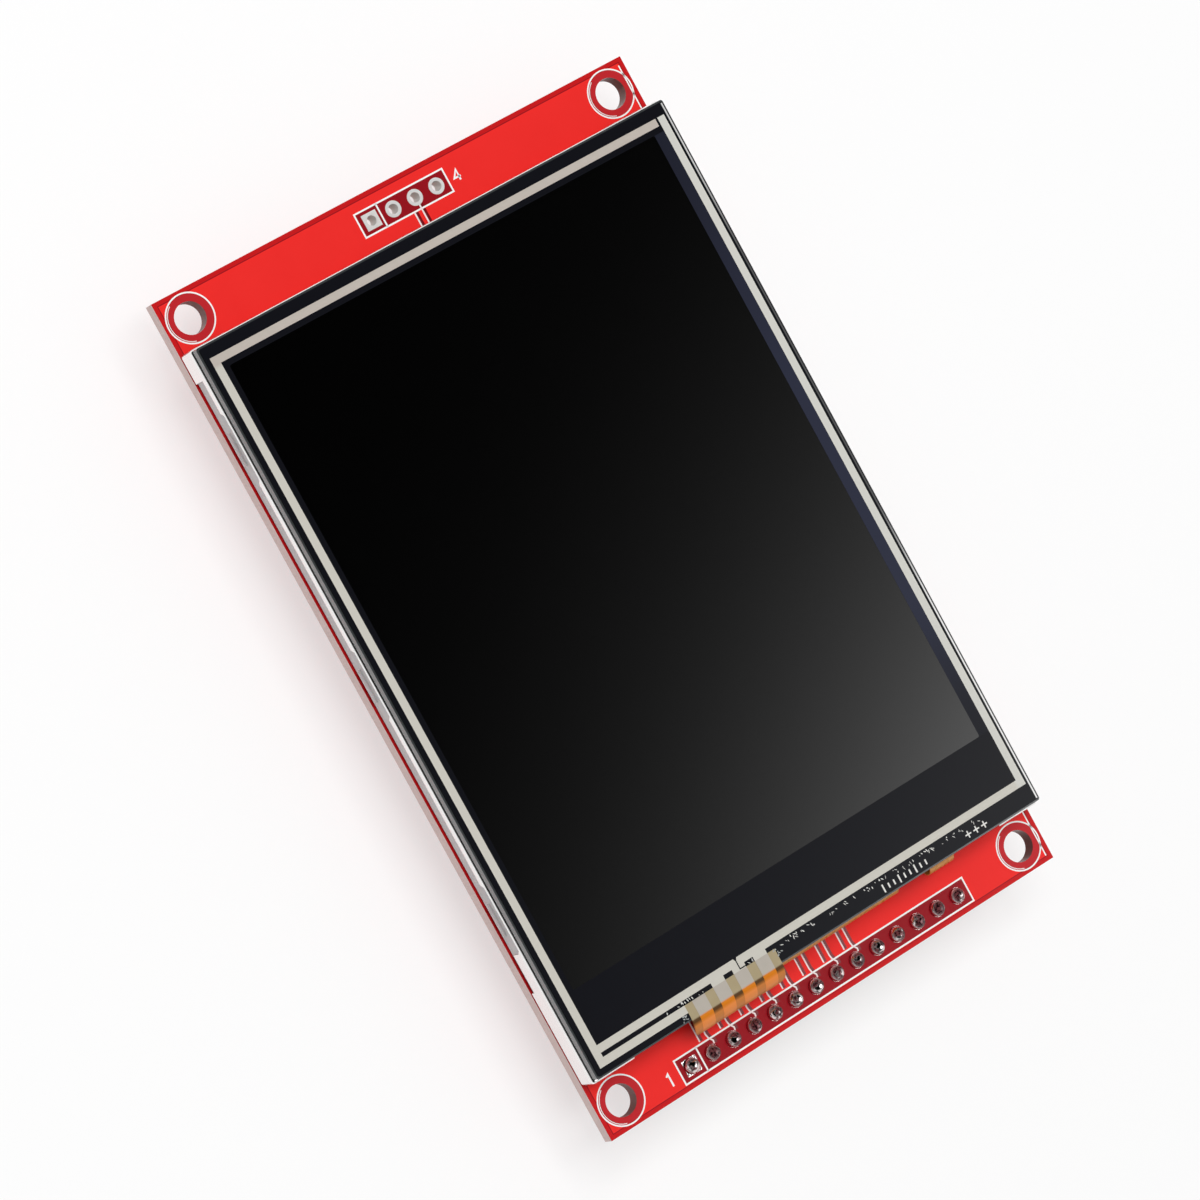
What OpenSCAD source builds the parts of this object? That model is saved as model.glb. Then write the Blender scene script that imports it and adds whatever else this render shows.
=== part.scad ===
// Colour display module: a resistive touch screen and its backlit panel on a
// circuit board, with a pin header, a row of spare holes and a memory card socket.
// Origin: centre of the four mounting holes on the board's back face.
// +Z points out of the display, +Y along the board away from the pin header.

/* [Circuit board] */
// Width of the circuit board
board_w = 55.04; // [55.04:0.02:56]
// Length of the circuit board
board_l = 89.3; // [89.3:0.1:92]
// Thickness of the circuit board
board_t = 1.6; // [1.2:0.1:2]
// Diameter of the four mounting holes
mount_hole_d = 3.2; // [2.6:0.1:3.4]
// Distance from the board's edges to a mounting hole's centre
mount_inset = 2.8; // [2.6:0.1:3]

/* [Panel] */
// Width of the steel bezel
panel_w = 55.04; // [54.8:0.02:55.2]
// Length of the steel bezel
panel_l = 77.7; // [77.5:0.1:77.9]
// How far the panel's centre sits above the board's centre
panel_y = 0.3; // [0.2:0.05:0.4]
// Height of the steel bezel's face above the board
bezel_h = 2.9; // [2.9:0.05:3.1]
// Thickness of the bezel's sheet steel
bezel_t = 0.2; // [0.15:0.05:0.25]
// Thickness of the foam tape between the board and the panel
tape_t = 0.3; // [0.25:0.05:0.35]

/* [Touch screen] */
// Width of the touch screen's glass
touch_w = 54.6; // [54.2:0.1:54.8]
// Length of the touch screen's glass
touch_l = 77.4; // [77:0.1:77.6]
// Thickness of the touch screen's glass
touch_glass_t = 0.9; // [0.7:0.1:1.1]
// Thickness of the touch screen's top film
touch_film_t = 0.2; // [0.15:0.05:0.25]
// Width of a printed silver conductor
bus_w = 0.8; // [0.6:0.1:0.9]
// Width of the see-through window
window_w = 49.8; // [49.4:0.1:50]
// Length of the see-through window
window_l = 66.2; // [65:0.1:66.6]

/* [Touch tail] */
// Width of the touch screen's flexible tail
tail_w = 10.9; // [10.8:0.1:11.1]
// Centre of the tail across the board
tail_x = -10.7; // [-10.9:0.02:-10.5]
// Spacing of the tail's four copper lanes
lane_pitch = 2.54; // [2.5:0.02:2.6]
// Width of one copper lane
lane_w = 1.5; // [1.2:0.1:1.6]

/* [Pin header] */
// Number of pins in the header
pin_count = 14; // [10:1:14]
// Spacing of the pins
pin_pitch = 2.54; // [2.5:0.01:2.56]
// Width of a square pin
pin_w = 0.64; // [0.6:0.02:0.66]
// How far the pins reach below the black strip
pin_reach = 6; // [4:0.5:9]
// Height of the black strip
strip_h = 2.54; // [2:0.1:2.8]

/* [Card socket] */
// Length of the card socket, in the direction in which a card goes in
socket_l = 26.6; // [26:0.1:27]
// Width of the card socket
socket_w = 28; // [27.6:0.1:28.4]
// Height of the card socket
socket_h = 3; // [2.9:0.1:3.2]
// Centre of the card socket along the board
socket_y = 9; // [6:0.5:10]

/* [Hidden] */

$fn = 48;
EPS = 0.01;

// Board
hole_x = board_w / 2 - mount_inset;
hole_y = board_l / 2 - mount_inset;
pad_t = 0.05;
pad_r = 0.82;
barrel_w = 0.05;

// Header: its row lies just off the board's centre line
row_x = -0.27;
row_y = -42.7;
pin_hole_r = 0.52;
pin_top = 0.6;
pin_taper = 0.5;
function pin_x(i) = row_x + (i - (pin_count - 1) / 2) * pin_pitch;

// Spare row of four plated holes
spare_count = 4;
spare_x = -0.09;
spare_y = 41.92;
spare_hole_r = 0.5;
function spare_hole_x(i) = spare_x + (i - (spare_count - 1) / 2) * pin_pitch;

// Levels of the layers above the board's front face, bottom to top
front = board_t;
frame_z = front + tape_t;
reflector_t = 0.1;
guide_z = frame_z + reflector_t;
guide_t = 0.7;
diffuser_z = guide_z + guide_t;
diffuser_t = 0.1;
prism_t = 0.08;
lower_prism_z = diffuser_z + diffuser_t;
upper_prism_z = lower_prism_z + prism_t;
rim_tape_z = upper_prism_z + prism_t;
rim_tape_t = 0.06;
polarizer_t = 0.12;
rear_polarizer_z = rim_tape_z + rim_tape_t;
glass_t = 0.5;
rear_glass_z = rear_polarizer_z + polarizer_t;
front_glass_z = rear_glass_z + glass_t;
front_polarizer_z = front_glass_z + glass_t;
bezel_z = front + bezel_h;
flange_z = bezel_z - bezel_t;
touch_tape_t = 0.1;
touch_glass_z = bezel_z + touch_tape_t;
spacer_z = touch_glass_z + touch_glass_t;
spacer_t = 0.05;
film_z = spacer_z + spacer_t;
film_top = film_z + touch_film_t;
ink_t = 0.05;
silver_t = 0.025;

// Panel outlines, all centred on the panel
cell_w = 52.6;
cell_top_y = 38.3;
front_glass_l = 70.6;
rear_glass_l = 75.2;
polarizer_w = 51;
polarizer_l = 68;
polarizer_y = 3.1;
sheet_w = 51.4;
sheet_l = 68.6;
sheet_y = 3.1;
window_x = -0.3;
window_y = 3.12;
film_inset = 0.2;

// Snaps along the bezel's long walls: the plastic lugs and the arches over them
snap_pitch = 25;
snap_y0 = 4;
snap_count = 3;
lug_l = 3.4;
arch_l = 6.8;

module circle_at(x, y, r) {
    translate([x, y]) circle(r = r);
}

// A rectangle with its corners rounded by exact arcs
module round_rect(w, l, r) {
    square([w - 2 * r, l], center = true);
    square([w, l - 2 * r], center = true);
    for (x = [-1, 1], y = [-1, 1]) circle_at(x * (w / 2 - r), y * (l / 2 - r), r);
}

// A flat sheet w by l, t thick, standing on z and centred on (0, y)
module sheet(w, l, t, z, y = panel_y, r = 0.3) {
    translate([0, y, z]) linear_extrude(t) round_rect(w, l, r);
}

// A flat ring: a sheet with a rounded window
module ring(w, l, inner_w, inner_l, t, z, y = panel_y, inner_y = panel_y, r = 0.3, inner_x = 0) {
    translate([0, 0, z]) linear_extrude(t) difference() {
        translate([0, y]) round_rect(w, l, r);
        translate([inner_x, inner_y]) round_rect(inner_w, inner_l, r);
    }
}

// ---- Circuit board ----

module circuit_board() {
    color("red") linear_extrude(board_t) difference() {
        square([board_w, board_l], center = true);
        for (x = [-1, 1], y = [-1, 1]) circle_at(x * hole_x, y * hole_y, mount_hole_d / 2);
        for (i = [0 : pin_count - 1]) circle_at(pin_x(i), row_y, pin_hole_r);
        for (i = [0 : spare_count - 1]) circle_at(spare_hole_x(i), spare_y, spare_hole_r);
    }
}

// A plated hole: its barrel through the board and a pad on each face
module eyelet(hole_r, is_square) {
    difference() {
        union() {
            cylinder(r = hole_r, h = board_t);
            for (z = [-pad_t, board_t]) translate([0, 0, z])
                if (is_square) translate([-pad_r, -pad_r, 0]) cube([2 * pad_r, 2 * pad_r, pad_t]);
                else cylinder(r = pad_r, h = pad_t);
        }
        translate([0, 0, -1]) cylinder(r = hole_r - barrel_w, h = board_t + 2);
    }
}

module header_pads() {
    color("silver") for (i = [0 : pin_count - 1])
        translate([pin_x(i), row_y, 0]) eyelet(pin_hole_r, i == 0);
}

// The spare holes' pads, each a ring on the board's face
module spare_pads() {
    color("silver") for (i = [0 : spare_count - 1], z = [-pad_t, board_t])
        translate([spare_hole_x(i), spare_y, z]) linear_extrude(pad_t) difference() {
            if (i == 0) square(2 * pad_r, center = true);
            else circle(r = pad_r);
            circle(r = spare_hole_r);
        }
}

// ---- Pin header ----

strip_w = 2.5;
notch = 0.35;

// One cell of the strip: a block with its corners cut back, so the strip snaps between pins
module strip_cell_outline() {
    half = pin_pitch / 2;
    polygon([[-half, -strip_w / 2 + notch], [-half + notch, -strip_w / 2],
        [half - notch, -strip_w / 2], [half, -strip_w / 2 + notch],
        [half, strip_w / 2 - notch], [half - notch, strip_w / 2],
        [-half + notch, strip_w / 2], [-half, strip_w / 2 - notch]]);
}

module header_strip() {
    color("black") translate([0, row_y, -pad_t - strip_h]) linear_extrude(strip_h) difference() {
        for (i = [0 : pin_count - 1]) translate([pin_x(i), 0]) strip_cell_outline();
        for (i = [0 : pin_count - 1]) translate([pin_x(i), 0]) square(pin_w, center = true);
    }
}

// A square pin with all four sides tapered at each end
module header_pin() {
    bottom = -pad_t - strip_h - pin_reach;
    top = board_t + pin_top;
    half = pin_w / 2;
    tip = pin_w / 4;
    intersection_for (turn = [0, 90]) rotate([0, 0, turn]) rotate([90, 0, 0])
        translate([0, 0, -half]) linear_extrude(pin_w) polygon([
            [-tip, bottom], [tip, bottom], [half, bottom + pin_taper], [half, top - pin_taper / 2],
            [tip, top], [-tip, top], [-half, top - pin_taper / 2], [-half, bottom + pin_taper]]);
}

module header_pins() {
    color("gold") for (i = [0 : pin_count - 1]) translate([pin_x(i), row_y, 0]) header_pin();
}

// A solder joint: a round bead on the pad, which covers the pin's tip
bead_r = 0.8;
module solder_bead() {
    difference() {
        translate([0, 0, front + pad_t]) intersection() {
            sphere(r = bead_r);
            translate([-bead_r, -bead_r, 0]) cube(2 * bead_r);
        }
        header_pin();
    }
}

module header_solder() {
    color("lightgrey") for (i = [0 : pin_count - 1]) translate([pin_x(i), row_y, 0]) solder_bead();
}

// ---- Backlight ----

frame_w = panel_w - 2 * bezel_t;
frame_l = panel_l - 2 * bezel_t;
frame_top = flange_z;
flex_gap_w = 38;
flex_gap_l = 1.6;
lug_z = front + 0.9;
lug_h = 0.45;
lug_out = 0.3;

module mounting_tape() {
    color("white") translate([0, 0, front]) for (y = [-12, 30])
        translate([-22, y - 6, 0]) cube([44, 12, tape_t]);
}

// Lug on the plastic frame's long side: flat on top, sloped underneath
module frame_lug() {
    rotate([90, 0, 0]) translate([0, 0, -lug_l / 2]) linear_extrude(lug_l)
        polygon([[0, 0], [-lug_out, lug_h * 0.6], [-lug_out, lug_h], [0, lug_h]]);
}

module frame_snaps() {
    for (side = [0, 1], k = [0 : snap_count - 1])
        mirror([side, 0, 0]) translate([-frame_w / 2, snap_y0 + (k - 1) * snap_pitch, lug_z]) frame_lug();
}

// Slot in the plastic above each lug, which lets the lug give as the bezel snaps on
lug_slot_l = 3.7;
lug_slot_h = 0.25;
lug_slot_depth = 0.3;
lug_slot_z = front + 2.35;
module lug_slots() {
    for (side = [0, 1], k = [0 : snap_count - 1]) mirror([side, 0, 0])
        translate([-frame_w / 2 - 1, snap_y0 + (k - 1) * snap_pitch - lug_slot_l / 2, lug_slot_z])
            cube([1 + lug_slot_depth, lug_slot_l, lug_slot_h]);
}

module backlight_frame() {
    cell_z = rim_tape_z;
    color("whitesmoke") difference() {
        union() {
            translate([0, panel_y, frame_z]) linear_extrude(frame_top - frame_z)
                round_rect(frame_w, frame_l, 0.5);
            frame_snaps();
        }
        // well for the sheets and the light guide, open below for the reflector
        translate([0, sheet_y, frame_z - 1]) linear_extrude(cell_z - frame_z + 2)
            round_rect(sheet_w, sheet_l, 0.3);
        // wider well above it for the glass
        translate([0, cell_top_y - rear_glass_l / 2, cell_z]) linear_extrude(2)
            round_rect(cell_w + 0.1, rear_glass_l + 0.1, 0.3);
        // the bar at the header's end is cut back where both flexible circuits fold round it
        translate([-flex_gap_w / 2, panel_y - frame_l / 2 - 1, frame_z - 1])
            cube([flex_gap_w, flex_gap_l + 1, 4]);
        translate([-flex_gap_w / 2, panel_y - frame_l / 2 - 1, rim_tape_z])
            cube([flex_gap_w, flex_gap_l + 3, 4]);
        // pocket that holds the row of lamps at the edge of the light guide
        translate([-sheet_w / 2 + 2, sheet_y - sheet_l / 2 - 1.2, guide_z]) cube([sheet_w - 4, 1.3, 4]);
        lug_slots();
    }
}

module reflector_sheet() {
    color("gainsboro") sheet(sheet_w - 0.1, sheet_l - 0.1, reflector_t, frame_z, sheet_y);
}

module light_guide() {
    color("azure") sheet(sheet_w - 0.2, sheet_l - 0.2, guide_t, guide_z, sheet_y);
}

module diffuser_sheet() {
    color("white") sheet(sheet_w - 0.2, sheet_l - 0.2, diffuser_t, diffuser_z, sheet_y);
}

module lower_prism_sheet() {
    color("lightcyan") sheet(sheet_w - 0.2, sheet_l - 0.2, prism_t, lower_prism_z, sheet_y);
}

module upper_prism_sheet() {
    color("lightblue") sheet(sheet_w - 0.2, sheet_l - 0.2, prism_t, upper_prism_z, sheet_y);
}

led_count = 6;
led_y = sheet_y - sheet_l / 2 - 0.5;
led_strip_t = 0.1;

module led_strip() {
    color("khaki") translate([-sheet_w / 2 + 2.2, led_y - 0.55, guide_z])
        cube([sheet_w - 4.4, 1, led_strip_t]);
}

// A side-view lamp with a slanted back
module backlight_led() {
    rotate([90, 0, 90]) translate([0, 0, -1.5]) linear_extrude(3)
        polygon([[-0.5, 0], [0.4, 0], [0.4, 0.55], [-0.35, 0.55]]);
}

module backlight_leds() {
    color("ivory") for (i = [0 : led_count - 1])
        translate([(i - (led_count - 1) / 2) * 7.6, led_y, guide_z + led_strip_t]) backlight_led();
}

module rim_tape() {
    color("dimgrey") ring(cell_w, front_glass_l, polarizer_w + 0.1, polarizer_l + 0.1, rim_tape_t,
        rim_tape_z, cell_top_y - front_glass_l / 2, polarizer_y);
}

// ---- Liquid crystal cell ----

module rear_polarizer() {
    color("darkslategrey") sheet(polarizer_w, polarizer_l, polarizer_t, rear_polarizer_z, polarizer_y);
}

module rear_glass() {
    color("lightslategrey") sheet(cell_w, rear_glass_l, glass_t, rear_glass_z,
        cell_top_y - rear_glass_l / 2, 0.2);
}

module front_glass() {
    color("slategrey") sheet(cell_w, front_glass_l, glass_t, front_glass_z,
        cell_top_y - front_glass_l / 2, 0.2);
}

module front_polarizer() {
    color("black") sheet(polarizer_w, polarizer_l, polarizer_t, front_polarizer_z, polarizer_y);
}

driver_l = 18;
driver_w = 1.2;
module driver_chip() {
    color("dimgrey") translate([-driver_l / 2, -34.2, front_glass_z]) cube([driver_l, driver_w, 0.35]);
}

// A flexible circuit folded round in a half circle: profile across the fold, in (y, z)
module fold_profile(fold_y, low, high, t, top_end, low_end) {
    r = (high - low) / 2;
    translate([fold_y, low + r]) difference() {
        circle(r = r);
        circle(r = r - t);
        translate([0, -2 * r]) square([2 * r, 4 * r]);
    }
    translate([fold_y, high - t]) square([top_end - fold_y, t]);
    if (low_end > fold_y) translate([fold_y, low]) square([low_end - fold_y, t]);
}

flex_t = 0.12;
flex_top = front_glass_z + flex_t;
flex_bond_y = -35.9;
flex_end_y = -27;

// Lobes of the panel's flexible circuit: left edge, right edge and where each folds
flex_lobes = [[-4.9, 10.2, -38.04], [14.1, 17.1, -38.24]];

// Extrudes a (y, z) profile along X from one place to another
module along_x(x0, x1) {
    translate([x0, 0, 0]) rotate([90, 0, 90]) linear_extrude(x1 - x0) children();
}

module panel_flex() {
    color("darkorange") for (lobe = flex_lobes) along_x(lobe[0], lobe[1])
        fold_profile(lobe[2], front, flex_top, flex_t, flex_bond_y, flex_end_y);
}

// Solder on the ends of the panel's flexible circuit, where it meets the board
joint_pitch = 0.8;
module panel_flex_joints() {
    color("silver") for (lobe = flex_lobes)
        for (x = [lobe[0] + joint_pitch / 2 : joint_pitch : lobe[1] - joint_pitch / 2])
            translate([x, flex_end_y, front]) along_x(-0.2, 0.2)
                polygon([[0, 0], [0.9, 0], [0.15, flex_t], [0, flex_t]]);
}

// ---- Steel bezel ----

bezel_r = 0.35;

// A block with its upright corners and top edges rounded by exact arcs
module rounded_cover(w, l, top, bottom, r) {
    for (x = [-1, 1], y = [-1, 1]) translate([x * (w / 2 - r), y * (l / 2 - r), 0]) {
        translate([0, 0, bottom]) cylinder(r = r, h = top - r - bottom);
        translate([0, 0, top - r]) sphere(r = r);
    }
    for (y = [-1, 1]) translate([-w / 2 + r, y * (l / 2 - r), top - r])
        rotate([0, 90, 0]) cylinder(r = r, h = w - 2 * r);
    for (x = [-1, 1]) translate([x * (w / 2 - r), l / 2 - r, top - r])
        rotate([90, 0, 0]) cylinder(r = r, h = l - 2 * r);
    translate([-w / 2 + r, -l / 2, bottom]) cube([w - 2 * r, l, top - r - bottom]);
    translate([-w / 2, -l / 2 + r, bottom]) cube([w, l - 2 * r, top - r - bottom]);
    translate([-w / 2 + r, -l / 2 + r, bottom]) cube([w - 2 * r, l - 2 * r, top - bottom]);
}

wall_foot = front + 0.3;
skirt_z = front + 2.15;
arch_z = front + 2.65;
corner_top = 3.0;
corner_low = 9.8;
step_z = front + 0.95;
step_l = 4.7;

// The part of a long wall that is pressed away, as seen from the side, in (y, z):
// the wall reaches down only near its ends, in two steps at the header's end, and rises
// in an arch over each plastic lug
module wall_cut() {
    y0 = panel_y - panel_l / 2 + corner_low;
    y1 = panel_y + panel_l / 2 - corner_top;
    translate([y0, front - 1]) square([y1 - y0, step_z - front + 1]);
    translate([y0 + step_l, front - 1]) square([y1 - y0 - step_l, skirt_z - front + 1]);
    for (k = [0 : snap_count - 1]) translate([snap_y0 + (k - 1) * snap_pitch, front - 1])
        polygon([[-arch_l / 2 - 0.3, 0], [arch_l / 2 + 0.3, 0], [arch_l / 2 + 0.3, skirt_z - front + 1],
            [arch_l / 2, arch_z - front + 1], [-arch_l / 2, arch_z - front + 1],
            [-arch_l / 2 - 0.3, skirt_z - front + 1]]);
}

window_flange_w = 50.6;
window_flange_l = 67.4;
end_tab_w = 4.95;
end_tab_out = 0.22;

module steel_bezel() {
    inner_w = panel_w - 2 * bezel_t;
    cover_l = panel_l + end_tab_out;
    cover_y = panel_y - end_tab_out / 2;
    far = panel_w;
    color("gainsboro") difference() {
        translate([0, cover_y, 0]) rounded_cover(panel_w, cover_l, bezel_z, wall_foot, bezel_r);
        translate([0, cover_y, front - 1]) linear_extrude(flange_z - front + 1)
            round_rect(inner_w, cover_l - 2 * bezel_t, 0.5);
        translate([0, window_y, front]) linear_extrude(bezel_h + 1)
            round_rect(window_flange_w, window_flange_l, 0.4);
        along_x(-far, far) wall_cut();
        // end walls: tabs at the corners only, and the header end is cut right up to the face
        translate([-panel_w / 2 + end_tab_w, panel_y, front - 1])
            cube([panel_w - 2 * end_tab_w, panel_l, skirt_z - front + 1]);
        translate([-panel_w / 2 + end_tab_w, panel_y - panel_l / 2 - 1, front - 1])
            cube([panel_w - 2 * end_tab_w, 1 + bezel_r + 0.2, bezel_h + 2]);
    }
}

module bezel_gasket() {
    color("dimgrey") ring(cell_w, front_glass_l, polarizer_w + 0.1, polarizer_l + 0.1,
        flange_z - front_polarizer_z, front_polarizer_z, cell_top_y - front_glass_l / 2, polarizer_y);
}

// ---- Touch screen ----

module touch_tape() {
    color("dimgrey") ring(panel_w - 2, panel_l - 2, window_flange_w, window_flange_l, touch_tape_t, bezel_z,
        panel_y, window_y);
}

module touch_glass() {
    color("lightsteelblue") sheet(touch_w, touch_l, touch_glass_t, touch_glass_z, panel_y, 0.25);
}

film_w = touch_w - 2 * film_inset;
film_l = touch_l - 2 * film_inset;

// The spacer leaves a slot at the header's end for the tail
module touch_spacer() {
    color("dimgrey") difference() {
        ring(film_w, film_l, window_w, window_l, spacer_t, spacer_z, panel_y, window_y, 0.3, window_x);
        translate([tail_x - tail_w / 2, -50, film_z - flex_t]) cube([tail_w, 50 + tail_bond_y, 1]);
    }
}

// The film's face is flat: the border and the conductors are let into it
module touch_film() {
    color("black") difference() {
        sheet(film_w, film_l, touch_film_t, film_z, panel_y, 0.2);
        ring(film_w + 1, film_l + 1, window_w, window_l, 1, film_top - ink_t, panel_y, window_y, 0.2,
            window_x);
        translate([tail_x - tail_w / 2, -50, film_z - 1]) cube([tail_w, 50 + tail_bond_y, 2]);
    }
}

// A dark border printed round the window
module border_ink() {
    color("midnightblue") difference() {
        ring(film_w, film_l, window_w, window_l, ink_t, film_top - ink_t, panel_y, window_y, 0.2,
            window_x);
        translate([0, 0, film_top - silver_t]) linear_extrude(1) conductor_outline();
        translate([tail_x - tail_w / 2, -50, film_top - 1]) cube([tail_w, 50 + tail_bond_y, 2]);
    }
}

// Conductors: four bars round the window, joined in two pairs, and a finger to each lane
bus_x = 26.2;
bus_top = 37.22;
bus_bottom = -35.93;
bus_outer = -37.18;
bus_gap = 0.25;
split_x = -9.35;
split_gap = 0.12;
split_mouth = 0.4;
module bar(x0, y0, x1, y1) {
    translate([min(x0, x1) - bus_w / 2, min(y0, y1) - bus_w / 2])
        square([abs(x1 - x0) + bus_w, abs(y1 - y0) + bus_w]);
}

function lane_x(i) = tail_x + (i - 1.5) * lane_pitch;

module finger(i, top, bottom) {
    translate([lane_x(i) - lane_w / 2, bottom]) square([lane_w, top - bottom]);
}

// The cut between the inner bar's two halves, which opens towards the window
module split_notch() {
    top = bus_bottom + bus_w / 2;
    half = split_mouth / 2;
    polygon([[split_x - half, top + 1], [split_x - half, top], [split_x, top - split_mouth],
        [split_x + half, top], [split_x + half, top + 1]]);
    translate([split_x - split_gap / 2, tail_bond_y + split_gap / 2]) square([split_gap, top - tail_bond_y]);
}

module conductor_bars() {
    finger_end = tail_bond_y;
    // top bar runs down the left side to the outer bar and the first lane
    bar(-bus_x, bus_top, bus_x - bus_w - bus_gap, bus_top);
    bar(-bus_x, bus_top, -bus_x, bus_outer);
    bar(-bus_x, bus_outer, tail_x - tail_w / 2 - bus_w / 2, bus_outer);
    // inner bar, split under the third lane: the left half has fingers to the second and
    // third lanes, the right half runs up the right side and has one to the fourth lane
    bar(-bus_x, bus_bottom, bus_x, bus_bottom);
    bar(bus_x, bus_bottom, bus_x, bus_top);
    for (i = [1 : 3]) finger(i, bus_bottom, finger_end);
}

module conductor_outline() {
    difference() {
        conductor_bars();
        split_notch();
        // the third lane's finger is cut free of the right half
        translate([split_x, tail_bond_y + split_gap / 2])
            square([lane_x(2) + lane_w / 2 - split_x, split_gap]);
    }
}

module silver_conductors() {
    color("tan") translate([0, 0, film_top - silver_t]) linear_extrude(silver_t) conductor_outline();
}

// ---- Touch tail ----

tail_bond_y = -36.8;
tail_fold_y = -38.1;
tail_end_y = -34.6;
tail_top = film_top;
shoulder_r = 1.6;
shoulder_z = front + 3.7;

// Outline of the tail seen from its end, in (x, z): full width above, narrower below the fold
module tail_front_outline() {
    neck_w = tail_w - 2 * shoulder_r;
    translate([-tail_w / 2, shoulder_z]) square([tail_w, 5]);
    translate([-neck_w / 2, front - 1]) square([neck_w, 6]);
    for (side = [-1, 1]) circle_at(side * neck_w / 2, shoulder_z, shoulder_r);
}

// Trims its children to the tail's outline
module trim_to_tail() {
    intersection() {
        children();
        translate([tail_x, 0, 0]) rotate([90, 0, 0]) translate([0, 0, 30]) linear_extrude(15)
            tail_front_outline();
    }
}

module touch_tail() {
    color("orange") trim_to_tail() along_x(tail_x - tail_w / 2, tail_x + tail_w / 2)
        fold_profile(tail_fold_y, front, tail_top, flex_t, tail_bond_y, tail_end_y);
}

// The four copper lanes, seen through the tail's cover film
lane_t = 0.02;
module touch_tail_lanes() {
    color("goldenrod") for (i = [0 : 3])
        trim_to_tail() along_x(lane_x(i) - lane_w / 2, lane_x(i) + lane_w / 2)
        difference() {
            fold_profile(tail_fold_y, front - lane_t, tail_top + lane_t, lane_t, tail_bond_y, tail_fold_y);
            translate([tail_fold_y - 5, front - 1]) square([10, 2]);
        }
}

// ---- Card socket, on the board's back ----

socket_x1 = board_w / 2 - 0.6;
socket_x0 = socket_x1 - socket_l;
shell_t = 0.25;
floor_t = 0.6;
rail_w = 1.6;
card_w = 24.2;
card_h = 2.15;
contact_count = 9;
contact_pitch = 2.5;
contact_x = socket_x0 + 2.4;
contact_t = 0.15;
function contact_y(i) = socket_y + (i - (contact_count - 1) / 2) * contact_pitch;

module socket_base() {
    base_h = socket_h - shell_t;
    rail_y = (socket_w - 2 * shell_t) / 2;
    color("dimgrey") translate([0, 0, -base_h]) difference() {
        translate([socket_x0, socket_y - rail_y, 0]) cube([socket_l, 2 * rail_y, base_h]);
        // card bay, open at the board's edge
        translate([socket_x0 + 3, socket_y - card_w / 2, -1]) cube([socket_l, card_w, base_h - floor_t + 1]);
        // the floor is open in the middle, past the contact comb
        translate([socket_x0 + 11, socket_y - card_w / 2 + 1.5, -1]) cube([socket_l, card_w - 3, base_h + 2]);
        // a slot for each contact finger, which comes out through the rear wall
        for (i = [0 : contact_count - 1]) translate([socket_x0 - 1, contact_y(i) - 0.55, -1]) {
            cube([9, 1.1, base_h - contact_t + 1]);
            cube([2.3, 1.1, base_h + 2]);
        }
        // slanted corner that turns a card put in the wrong way round
        translate([socket_x0 + 3, socket_y + card_w / 2 - 1.2, -1]) rotate([0, 0, 45])
            cube([2, 2, base_h - floor_t + 1]);
        // bay for the detect switch in the far rail
        translate([socket_x0 + 4, socket_y - rail_y - 1, -1]) cube([6, 2.2, base_h - 0.3 + 1]);
    }
}

// Folded steel shell: roof and two side walls, with springs and windows pressed out of it
module socket_shell() {
    half = socket_w / 2;
    base_h = socket_h - shell_t;
    color("silver") difference() {
        translate([socket_x0, socket_y - half, -socket_h]) cube([socket_l, socket_w, socket_h]);
        translate([socket_x0 - 1, socket_y - half + shell_t, -base_h])
            cube([socket_l + 2, socket_w - 2 * shell_t, socket_h]);
        // card mouth: the roof's front edge is cut back in a shallow bay for the thumb
        translate([socket_x1 + 9, socket_y, -socket_h - 1]) cylinder(r = 12, h = shell_t + 1 + EPS);
        // two long springs: a U-shaped slit round each tongue
        for (s = [-1, 1]) translate([socket_x1 - 16, socket_y + s * 8, -socket_h - 1])
            linear_extrude(shell_t + 1 + EPS) difference() {
                union() { square([10, 3], center = true); circle_at(5, 0, 1.5); }
                translate([-0.5, 0]) square([10, 1.8], center = true);
                circle_at(4.5, 0, 0.9);
            }
        // round and oblong locating windows in the roof
        for (s = [-1, 1]) translate([socket_x0 + 5, socket_y + s * 9.5, -socket_h - 1])
            cylinder(r = 0.9, h = shell_t + 1 + EPS);
        translate([socket_x0 + 4.5, socket_y, -socket_h - 1]) linear_extrude(shell_t + 1 + EPS)
            round_rect(2.4, 9, 1.1);
        // windows in the side walls that snap over the base
        for (x = [4, 13, 22]) translate([socket_x0 + x, socket_y - half - 1, -1.9])
            cube([2.4, socket_w + 2, 0.7]);
        // the walls stand clear of the board except at their feet
        for (x = [2.2, 13.4]) translate([socket_x0 + x, socket_y - half - 1, -0.4])
            cube([9, socket_w + 2, 1]);
    }
    // solder feet, bent out flat on the board
    color("silver") for (s = [-1, 1], x = [0, 11.2, socket_l - 2.2])
        translate([socket_x0 + x, socket_y + s * (half + 0.5) - 0.5, -shell_t]) cube([2.2, 1, shell_t]);
}

// A contact finger: soldered tail, flat root in the base and a bowed tip that meets the card
module socket_contact() {
    t = contact_t;
    rotate([90, 0, 0]) translate([0, 0, -0.4]) linear_extrude(0.8) polygon([
        [-3.4, 0], [-1.6, 0], [-1.3, -t], [2.2, -t], [4.6, -1.25], [5.4, -1.0],
        [5.5, -1.0 - t], [4.6, -1.25 - t], [2.2, -2 * t], [-1.45, -2 * t], [-1.75, -t], [-3.4, -t]]);
}

module socket_contacts() {
    color("gold") for (i = [0 : contact_count - 1]) translate([contact_x, contact_y(i), 0]) socket_contact();
}

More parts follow.
